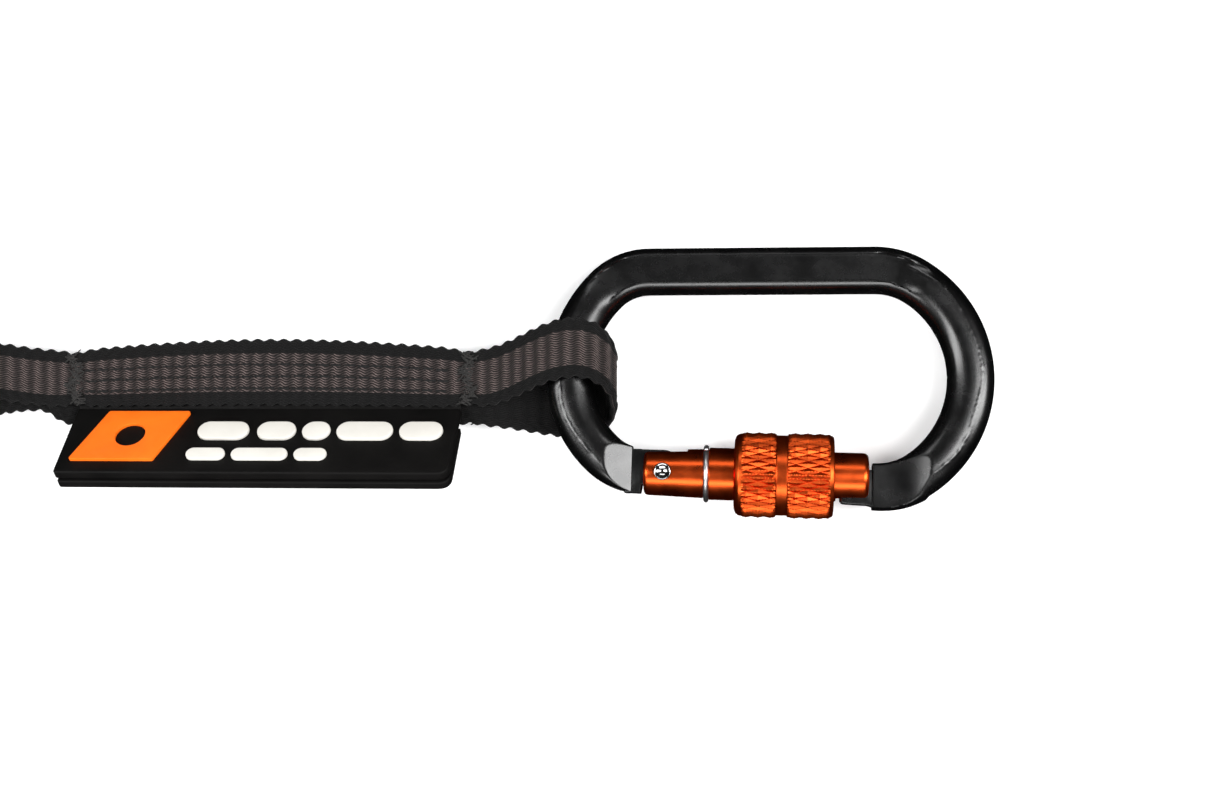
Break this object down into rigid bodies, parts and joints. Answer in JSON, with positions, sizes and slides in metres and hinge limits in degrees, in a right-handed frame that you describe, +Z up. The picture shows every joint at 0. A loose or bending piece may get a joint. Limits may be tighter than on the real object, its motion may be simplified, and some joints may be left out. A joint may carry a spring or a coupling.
{
  "type": "quickdraw",
  "caption": "Sewn webbing quickdraw: an oval screw-lock carabiner with an orange spring gate and knurled sleeve in each end loop of a short sling that carries a rubber label.",
  "frame": {"origin": "centre of the bounding box, on the table the draw lies on", "axes": "+X along the sling towards the rope-end carabiner, +Y towards both carabiner spines, +Z up from the table"},
  "size_m": [0.3382, 0.0612, 0.023],
  "materials": {
    "black_anodised": "satin black anodised, forged",
    "orange_anodised": "satin orange anodised, sleeve diamond knurled",
    "steel": "polished",
    "spring_steel": "bright drawn wire",
    "elastomer": "matte",
    "webbing": "woven nylon, black with a grey-brown centre stripe",
    "thread": "black polyester thread",
    "label_rubber": "moulded, matte",
    "label_orange": "moulded, matte",
    "label_white": "moulded, matte"
  },
  "bodies": {
    "sling": {"sling_webbing": "webbing", "right_bar_tack": "thread", "left_bar_tack": "thread", "lengthwise_stitching": "thread", "label_panel": "label_rubber", "label_emblem": "label_orange", "label_bars": "label_white"},
    "right_carabiner": {"right_carabiner_body": "black_anodised"},
    "right_gate": {"right_gate_barrel": "orange_anodised", "right_hinge_rivet": "steel", "right_stop_ring": "spring_steel", "right_gate_spring": "spring_steel"},
    "right_plunger": {"right_spring_plunger": "steel"},
    "right_sleeve_ring": {"right_sleeve_friction_ring": "elastomer"},
    "right_sleeve": {"right_locking_sleeve": "orange_anodised"},
    "left_carabiner": {"left_carabiner_body": "black_anodised"},
    "left_gate": {"left_gate_barrel": "orange_anodised", "left_hinge_rivet": "steel", "left_stop_ring": "spring_steel", "left_gate_spring": "spring_steel"},
    "left_plunger": {"left_spring_plunger": "steel"},
    "left_sleeve_ring": {"left_sleeve_friction_ring": "elastomer"},
    "left_sleeve": {"left_locking_sleeve": "orange_anodised"}
  },
  "joints": [
    {"name": "right_swing", "type": "hinge", "parent": "sling", "child": "right_carabiner", "pos_m": [0.07465, 0.00781, 0.00805], "axis": [-0.2224, -0.9693, 0.1047], "range_deg": [-4, 38]},
    {"name": "right_gate_hinge", "type": "hinge", "parent": "right_carabiner", "child": "right_gate", "pos_m": [0.09557, -0.02023, 0.00984], "axis": [0.0087, 0.1054, 0.9944], "range_deg": [0, 27], "stiffness_Nm_per_rad": 0.43, "springref_deg": -20.05},
    {"name": "right_plunger_slide", "type": "slide", "parent": "right_gate", "child": "right_plunger", "axis": [0.9998, -0.0208, -0.0065], "range_m": [0, 0.0005], "deforming": ["right_gate_spring"]},
    {"name": "right_sleeve_travel", "type": "slide", "parent": "right_gate", "child": "right_sleeve_ring", "axis": [0.9998, -0.0208, -0.0065], "range_m": [-0.0054, 0.0082]},
    {"name": "right_sleeve_turn", "type": "hinge", "parent": "right_sleeve_ring", "child": "right_sleeve", "pos_m": [0.11147, -0.02056, 0.00973], "axis": [0.9998, -0.0208, -0.0065], "range_deg": [-808, 1228]},
    {"name": "left_swing", "type": "hinge", "parent": "sling", "child": "left_carabiner", "pos_m": [-0.07411, 0.00463, 0.00839], "axis": [-0.1071, 0.9886, -0.1057], "range_deg": [-4, 38]},
    {"name": "left_gate_hinge", "type": "hinge", "parent": "left_carabiner", "child": "left_gate", "pos_m": [-0.09557, -0.02023, 0.00984], "axis": [0.0087, -0.1054, -0.9944], "range_deg": [0, 27], "stiffness_Nm_per_rad": 0.43, "springref_deg": -20.05},
    {"name": "left_plunger_slide", "type": "slide", "parent": "left_gate", "child": "left_plunger", "axis": [-0.9998, -0.0208, -0.0065], "range_m": [0, 0.0005], "deforming": ["left_gate_spring"]},
    {"name": "left_sleeve_travel", "type": "slide", "parent": "left_gate", "child": "left_sleeve_ring", "axis": [-0.9998, -0.0208, -0.0065], "range_m": [-0.0054, 0.0082]},
    {"name": "left_sleeve_turn", "type": "hinge", "parent": "left_sleeve_ring", "child": "left_sleeve", "pos_m": [-0.11147, -0.02056, 0.00973], "axis": [-0.9998, -0.0208, -0.0065], "range_deg": [-808, 1228]}
  ],
  "couplings": [
    {"joint": "right_plunger_slide", "follows": "right_gate_hinge", "m_per_rad": 0.00106},
    {"joint": "right_sleeve_travel", "follows": "right_sleeve_turn", "m_per_rad": 0.000382},
    {"joint": "left_plunger_slide", "follows": "left_gate_hinge", "m_per_rad": 0.00106},
    {"joint": "left_sleeve_travel", "follows": "left_sleeve_turn", "m_per_rad": 0.000382}
  ]
}
